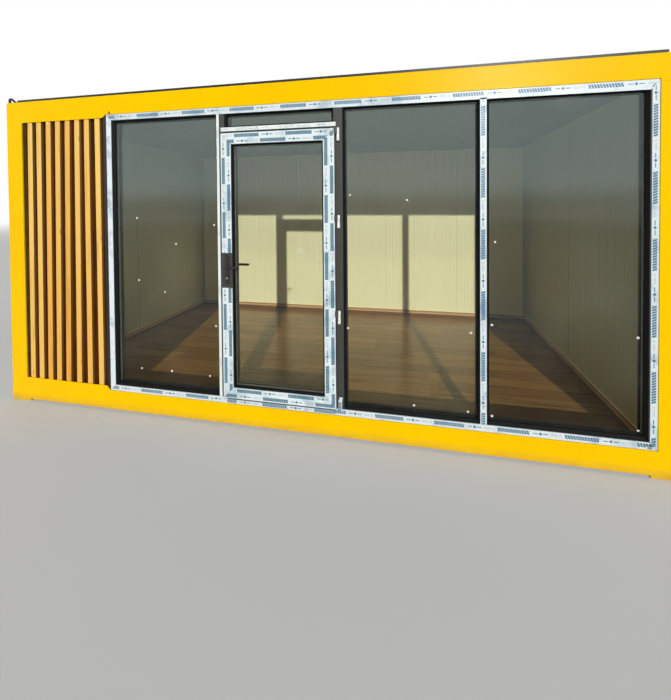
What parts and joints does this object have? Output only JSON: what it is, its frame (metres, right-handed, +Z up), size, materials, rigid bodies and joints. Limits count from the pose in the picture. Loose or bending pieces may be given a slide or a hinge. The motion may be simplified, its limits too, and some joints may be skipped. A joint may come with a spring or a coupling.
{
  "type": "container cabin",
  "caption": "Single-room cabin in a painted steel ring frame, with a glazed front wall, a hinged glazed door with lever handle, a slatted wooden bay and flat ribbed roof.",
  "frame": {"origin": "bottom centre of the whole cabin's box, on the plane under its feet", "axes": "+Z up, +X to the right seen from the front along the long side, the glazed front faces -Y"},
  "size_m": [5.17, 2.501, 2.664],
  "materials": {
    "yellow_paint": "satin",
    "dark_steel": "satin",
    "roof_sheet": "satin",
    "wall_panel": "satin",
    "joist_timber": "sawn",
    "floor_board": "matt",
    "laminate": "satin",
    "skirting": "satin",
    "backing_board": "matt",
    "slat_wood": "oiled",
    "anthracite_profile": "satin, wood-grained foil",
    "bead_gasket": "satin",
    "threshold_metal": "brushed",
    "glass": "clear, slightly tinted",
    "hinge_white": "gloss",
    "handle_metal": "satin",
    "cylinder_metal": "brushed"
  },
  "bodies": {
    "cabin": {"back_wall": "wall_panel", "bay_backing_board": "backing_board", "bay_filler_post": "anthracite_profile", "bay_rails": "yellow_paint", "bay_wall_panel": "wall_panel", "bottom_beam_back": "yellow_paint", "bottom_beam_front": "yellow_paint", "bottom_beams_side": "yellow_paint", "ceiling_panel": "wall_panel", "corner_feet": "yellow_paint", "corner_post_back_left": "yellow_paint", "corner_post_back_right": "yellow_paint", "corner_post_front_left": "yellow_paint", "corner_post_front_right": "yellow_paint", "door_threshold": "threshold_metal", "floor_board": "floor_board", "floor_joists": "joist_timber", "glass_left": "glass", "glass_middle": "glass", "glass_right": "glass", "glass_transom": "glass", "glazing_beads": "bead_gasket", "hinge_fixed_halves": "hinge_white", "laminate_floor": "laminate", "left_wall": "wall_panel", "lifting_eyes": "dark_steel", "mullion_hinge": "anthracite_profile", "mullion_lock": "anthracite_profile", "mullion_plain": "anthracite_profile", "right_wall": "wall_panel", "roof_sheet": "roof_sheet", "roof_trim": "dark_steel", "skirting": "skirting", "top_beam_back": "yellow_paint", "top_beam_front": "yellow_paint", "top_beams_side": "yellow_paint", "transom_bar": "anthracite_profile", "window_head": "anthracite_profile", "window_jamb_left": "anthracite_profile", "window_jamb_right": "anthracite_profile", "window_sill": "anthracite_profile", "wood_slats": "slat_wood"},
    "door": {"leaf_rail_top": "anthracite_profile", "leaf_rail_bottom": "anthracite_profile", "leaf_stile_lock": "anthracite_profile", "leaf_stile_hinge": "anthracite_profile", "leaf_beads": "bead_gasket", "leaf_glass": "glass", "hinge_moving_halves": "hinge_white", "lock_plates": "handle_metal", "key_cylinder": "cylinder_metal"},
    "handle": {"lever_outside": "handle_metal", "lever_inside": "handle_metal", "lever_spindle": "handle_metal"}
  },
  "joints": [
    {"name": "door_hinge", "type": "hinge", "parent": "cabin", "child": "door", "pos_m": [0.411, -1.2035, 1.588], "axis": [0, 0, 1], "range_deg": [0, 100]},
    {"name": "handle_turn", "type": "hinge", "parent": "door", "child": "handle", "pos_m": [-0.462, -1.2095, 1.239], "axis": [0, 1, 0], "range_deg": [0, 45], "stiffness_Nm_per_rad": 1.2, "springref_deg": -20.05}
  ]
}
